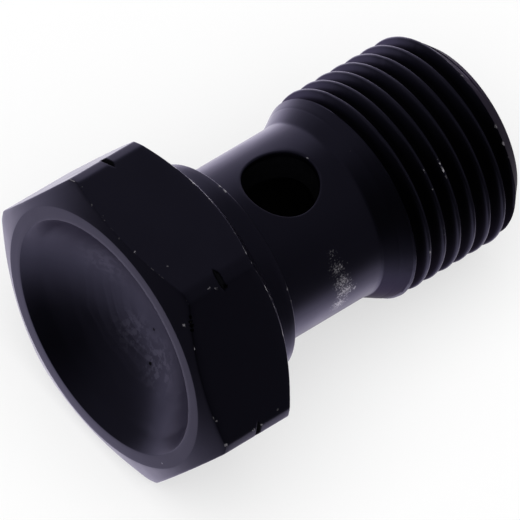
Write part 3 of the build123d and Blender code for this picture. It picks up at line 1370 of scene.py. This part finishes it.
@dataclass
class BanjoBolt:
    """The whole bolt: one mesh of head, shank, thread and oilways, in one worn finish with painted
    shade.
    """

    columns: Columns = field(default_factory=Columns)
    head: Head = field(default_factory=Head)
    finish: WornBlackWithPaintedShade = field(default_factory=WornBlackWithPaintedShade)
    sharp_from: float = 38.0

    def __post_init__(self) -> None:
        """Make the parts that take their sizes from the head."""
        self.dish = Dish(self.head.rim)
        self.shank = Shank(self.head)
        self.thread = Thread(self.shank)
        self.oilways = Oilways(self.shank, self.columns)

    @property
    def tilt(self) -> float:
        """Angle in radians by which the axis dips, from a flat and the thread end on the floor."""
        length = self.shank.end - self.shank.end_chamfer - self.head.rear_edge(self.head.flat)
        return math.atan2(self.head.flat - self.shank.crest, length)

    def laid(self) -> Matrix:
        """Lay the bolt on one flat and the thread end.

        Returns:
            The move from the bolt's own frame to the floor, both in millimetres.
        """
        sin, cos = math.sin(self.tilt), math.cos(self.tilt)
        turn = Matrix(((-sin, 0.0, cos), (0.0, 1.0, 0.0), (-cos, 0.0, -sin)))
        low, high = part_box(NODE)
        far = turn @ Vector((-self.shank.tip, 0.0, self.shank.end))
        contact = turn @ Vector((self.head.flat, 0.0, self.head.rear_edge(self.head.flat)))
        shift = Vector((high.x / MM - far.x, (low.y + high.y) / 2 / MM, low.z / MM - contact.z))
        return Matrix.Translation(shift) @ turn.to_4x4()

    def shell(self) -> Shell:
        """Put all surfaces together.

        Returns:
            The shell in the bolt's own frame.
        """
        shell, angles = Shell(), self.columns.angles
        ways = self.oilways
        collar = self.shank.collar_corners(ways.outer.low)
        front = self.dish.corners() + self.head.corners(angles) + collar
        shoulder = self.shank.rise_corners(ways.outer.high, self.thread.starts, angles)
        shell.add(*turned(front, angles))
        shell.add(*turned(shoulder, angles))
        shell.add(*self.thread.points(angles))
        shell.add(*turned(ways.bore_corners(), angles))
        shell.add(*turned(ways.drill_point_corners(), angles))
        ways.tube_walls(shell)
        for side in Side:
            ways.drill(shell, side)
        return shell

    def mesh(self) -> tuple[bpy.types.Mesh, list[int]]:
        """Make the closed mesh, laid on the floor, with its rubbed edges and painted shade as a
        layer.

        Returns:
            The mesh, and which finish each face takes.
        """
        points, wear_and_shade, faces = self.shell().welded()
        move = Matrix.Scale(MM, 4) @ self.laid()
        rotation, shift = np.array(move.to_3x3()), np.array(move.translation)
        mesh = bpy.data.meshes.new(PIECE)
        mesh.from_pydata((points @ rotation.T + shift).tolist(), [], faces)
        layer = mesh.attributes.new(WEAR_AND_SHADE_LAYER, "FLOAT", "POINT")
        layer.data.foreach_set("value", wear_and_shade.astype(np.float32))
        edit = bmesh.new()
        edit.from_mesh(mesh)
        bmesh.ops.recalc_face_normals(edit, faces=edit.faces)
        open_edges = sum(1 for edge in edit.edges if len(edge.link_faces) != 2)
        log.info("%d faces, %d edges not shared by two", len(faces), open_edges)
        log.info("volume %.1f mm3", edit.calc_volume() / MM**3)
        edit.to_mesh(mesh)
        edit.free()
        mesh.shade_smooth()
        mesh.set_sharp_from_angle(angle=math.radians(self.sharp_from))
        return mesh, [self.finish.kind(wear_and_shade[face].max()) for face in faces]

    def build(self) -> bpy.types.Object:
        """Make the bolt and dress it.

        Returns:
            The finished object.
        """
        mesh, kinds = self.mesh()
        for material in self.finish.materials(self.laid()):
            mesh.materials.append(material)
        mesh.polygons.foreach_set("material_index", np.array(kinds, np.int32))
        bolt = bpy.data.objects.new(PIECE, mesh)
        bpy.context.scene.collection.objects.link(bolt)
        weighted = bolt.modifiers.new("even_shading", "WEIGHTED_NORMAL")
        weighted.keep_sharp = True
        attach(bolt, "root")
        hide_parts(NODE)
        return bolt


@dataclass(frozen=True)
class Studio:
    """The floor, the lamp, and the glowing tent and cloth that only the bolt's gloss shows: painted
    reflections.
    """

    floor_size: float = 8.0
    floor_colour: Colour = (0.97, 0.97, 0.97, 1.0)
    floor_white: float = 0.6
    sun_strength: float = 2.5
    sun_angle: float = 80.0
    sun_tilt: Span = (12.0, -14.0)
    world_strength: float = 0.3
    # Tent, a glowing painted reflection: its radius in metres, its general level, and the sides
    # that are brighter or black
    tent_radius: float = 0.12
    tent_glow_level: float = 0.11
    tent_mesh: tuple[int, int] = (48, 32)
    bright_side: Point = (0.50, 0.87, 0.0)
    bright_over: Span = (0.55, 1.05)
    bright_level: float = 0.65
    upper_side: Point = (-0.20, 0.54, 0.82)
    upper_over: Span = (0.75, 1.0)
    upper_level: float = 0.06
    dark_side: Point = (-0.54, -0.77, 0.34)
    dark_over: Span = (0.30, 0.90)
    # Cloth on the floor that only the gloss shows, a painted dark reflection, in millimetres: three
    # directions in which the open floor ends
    cloth_lift: float = 0.05
    cloth_level: float = 0.07
    cloth_corners: int = 64
    open_floor: tuple[tuple[Point, Span], ...] = (
        ((-0.9, -0.436, 0.0), (14.0, 46.0)),
        ((-0.1, -1.0, 0.0), (7.0, 32.0)),
        ((0.6, -1.0, 0.0), (22.0, 34.0)),
    )
    # Glowing white card beyond the head and behind the bolt, a painted reflection that only the
    # gloss shows
    head_end: float = -13.5
    back_line: float = 6.0
    white_over: Span = (0.0, 4.0)
    near_white: float = 1.85
    far_white: float = 1.0
    far_past_head: Span = (3.5, 8.0)
    far_behind: Span = (25.0, 70.0)
    # Painted reflection beside the neck: a glow that only the gloss shows, standing in for light
    # that the floor throws back
    lift_level: float = 0.5
    lift_begin: Span = (-13.0, -8.0)
    lift_end: Span = (3.0, 9.0)
    lift_back: Span = (-9.0, -5.0)

    def floor(self) -> None:
        """Lay the pale floor, which keeps the bolt's shadow."""
        half = self.floor_size / 2
        corners = [(-half, -half, 0), (half, -half, 0), (half, half, 0), (-half, half, 0)]
        mesh = bpy.data.meshes.new("floor")
        mesh.from_pydata(corners, [], [(0, 1, 2, 3)])
        g = Graph("pale_floor")
        matte = g.node("ShaderNodeBsdfDiffuse", {"Color": self.floor_colour})
        g.show(g.mix(g.math("MULTIPLY", g.seen(), self.floor_white), matte, g.glow(1.0)))
        mesh.materials.append(g.material)
        floor = bpy.data.objects.new("floor", mesh)
        bpy.context.scene.collection.objects.link(floor)

    def lamp(self) -> None:
        """Hang one wide soft lamp high over the bolt."""
        lamp = bpy.data.lights.new("soft_lamp", "SUN")
        lamp.energy = self.sun_strength
        lamp.angle = math.radians(self.sun_angle)
        holder = bpy.data.objects.new("soft_lamp", lamp)
        holder.rotation_euler = (*map(math.radians, self.sun_tilt), 0.0)
        holder.visible_glossy = False
        bpy.context.scene.collection.objects.link(holder)

    @staticmethod
    def gloss_only(name: str, bm: bmesh.types.BMesh, g: Graph) -> None:
        """Add a painted reflection: a piece of the studio that nothing but the bolt's gloss can
        see.

        Args:
            name: Name of the piece.
            bm: Its mesh, which is freed.
            g: Nodes of its material.
        """
        mesh = bpy.data.meshes.new(name)
        bm.to_mesh(mesh)
        bm.free()
        mesh.shade_smooth()
        mesh.materials.append(g.material)
        piece = bpy.data.objects.new(name, mesh)
        for ray in ("camera", "diffuse", "transmission", "volume_scatter", "shadow"):
            setattr(piece, f"visible_{ray}", False)
        bpy.context.scene.collection.objects.link(piece)

    @staticmethod
    def facing(g: Graph, way: Socket, side: Point) -> Socket:
        """Return how nearly a direction points to one side, from -1 to 1."""
        return g.vector("DOT_PRODUCT", way, Vector(side).normalized())

    def tent(self) -> None:
        """Put a glowing tent, a painted reflection, round the bolt, bright on one side and black on
        another.
        """
        across, up = self.tent_mesh
        bm = bmesh.new()
        bmesh.ops.create_uvsphere(bm, u_segments=across, v_segments=up, radius=self.tent_radius)
        gone = [face for face in bm.faces if face.calc_center_median().z < 0]
        bmesh.ops.delete(bm, geom=gone, context="FACES")
        g = Graph("tent_reflection_glow")
        way = g.vector("NORMALIZE", g.place())
        open_side = g.fade(self.facing(g, way, self.dark_side), *self.dark_over)
        level = g.math("MULTIPLY", open_side, self.tent_glow_level)
        for side, over, added in (
            (self.bright_side, self.bright_over, self.bright_level),
            (self.upper_side, self.upper_over, self.upper_level),
        ):
            lit = g.ease(self.facing(g, way, side), *over, 0.0, added)
            level = g.math("ADD", level, lit)
        g.show(g.glow(level))
        self.gloss_only("tent", bm, g)

    def dark_reflection_cloth(self) -> None:
        """Lay a dark cloth on the floor that only the gloss sees, a painted reflection, cut away
        where the gloss shows the floor near the bolt.
        """
        corners, radius = self.cloth_corners, self.tent_radius
        bm = bmesh.new()
        bmesh.ops.create_circle(bm, cap_ends=True, segments=corners, radius=radius)
        bmesh.ops.translate(bm, verts=bm.verts, vec=(0, 0, self.cloth_lift * MM))
        g = Graph("dark_reflection_cloth")
        place = g.place()
        spot = g.node("ShaderNodeSeparateXYZ", {0: place}).outputs
        x, y = spot["X"], spot["Y"]
        near = [g.fade(g.vector("DOT_PRODUCT", place, way), *over) for way, over in self.open_floor]
        bare = g.product(*near)
        past_head = g.math("SUBTRACT", self.head_end, x)
        behind = g.math("SUBTRACT", y, self.back_line)
        white = g.ease(g.math("MAXIMUM", past_head, behind), *self.white_over)
        far = g.math("MAXIMUM", g.ease(past_head, *self.far_past_head), g.ease(y, *self.far_behind))
        bright = g.blend(far, self.near_white, self.far_white)
        # The cloth glows dark and the white card glows past white, as painted reflections
        cloth = g.glow(g.blend(g.math("MULTIPLY", bare, white), self.cloth_level, bright))
        hole = g.math("MULTIPLY", bare, g.math("SUBTRACT", 1.0, white))
        # Painted reflection beside the neck: a glow added where the cloth is clear
        beside = g.math("MULTIPLY", g.ease(x, *self.lift_begin), g.fade(x, *self.lift_end))
        lift = g.glow(g.product(beside, g.fade(y, *self.lift_back), self.lift_level))
        clear = g.node("ShaderNodeBsdfTransparent")
        clear = g.node("ShaderNodeAddShader", {0: clear.outputs[0], 1: lift.outputs[0]})
        g.show(g.mix(hole, cloth, clear))
        self.gloss_only("dark_reflection_cloth", bm, g)

    def world(self) -> None:
        """Fill the surroundings with even pale light, shown white behind the object."""
        world = bpy.data.worlds.new("surroundings")
        g = Graph("surroundings", world)
        level = g.blend(g.seen(), self.world_strength, 1.0)
        g.show(g.node("ShaderNodeBackground", {"Color": WHITE, "Strength": level}))
        bpy.context.scene.world = world

    def build(self) -> None:
        """Set up everything round the bolt."""
        self.floor()
        self.lamp()
        self.tent()
        self.dark_reflection_cloth()
        self.world()


@dataclass(frozen=True)
class Viewpoint:
    """The camera: far off with a long lens, looking down past the head.

    Attributes:
        azimuth: Angle round the bolt from the front, in degrees.
        elevation: Angle above the floor, in degrees.
        roll: Turn about the line of sight, in degrees.
        target: Point in the middle of the view, in millimetres.
        distance: Distance from that point, in millimetres.
        lens: Focal length, in millimetres.
        sensor: Width of the sensor, in millimetres.
        clip: Nearest and farthest distance shown, in metres.
    """

    azimuth: float = -40.909
    elevation: float = 57.378
    roll: float = 2.067
    target: Point = (-3.09, -1.513, 12.0)
    distance: float = 975.99
    lens: float = 882.3
    sensor: float = 36.0
    clip: Span = (0.05, 50.0)

    def build(self) -> bpy.types.Object:
        """Place the camera and make it the scene's own.

        Returns:
            The camera.
        """
        lens = bpy.data.cameras.new("camera")
        lens.lens = self.lens
        lens.sensor_width = self.sensor
        lens.clip_start, lens.clip_end = self.clip
        camera = bpy.data.objects.new("camera", lens)
        a, e = math.radians(self.azimuth), math.radians(self.elevation)
        back = Vector((math.sin(a) * math.cos(e), -math.cos(a) * math.cos(e), math.sin(e)))
        camera.location = (Vector(self.target) + back * self.distance) * MM
        camera.rotation_mode = "QUATERNION"
        level = (-back).to_track_quat("-Z", "Y")
        roll = Matrix.Rotation(math.radians(self.roll), 3, "Z").to_quaternion()
        camera.rotation_quaternion = level @ roll
        bpy.context.scene.collection.objects.link(camera)
        bpy.context.scene.camera = camera
        return camera


def main() -> None:
    """Load the frame, and build the bolt, the studio round it and the camera."""
    logging.basicConfig(level=logging.INFO, format="%(message)s")
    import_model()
    view_settings = bpy.context.scene.view_settings
    view_settings.view_transform = "Standard"
    bolt = BanjoBolt().build()
    log.info("%s built", bolt.name)
    Studio().build()
    Viewpoint().build()


if __name__ == "__main__":
    main()
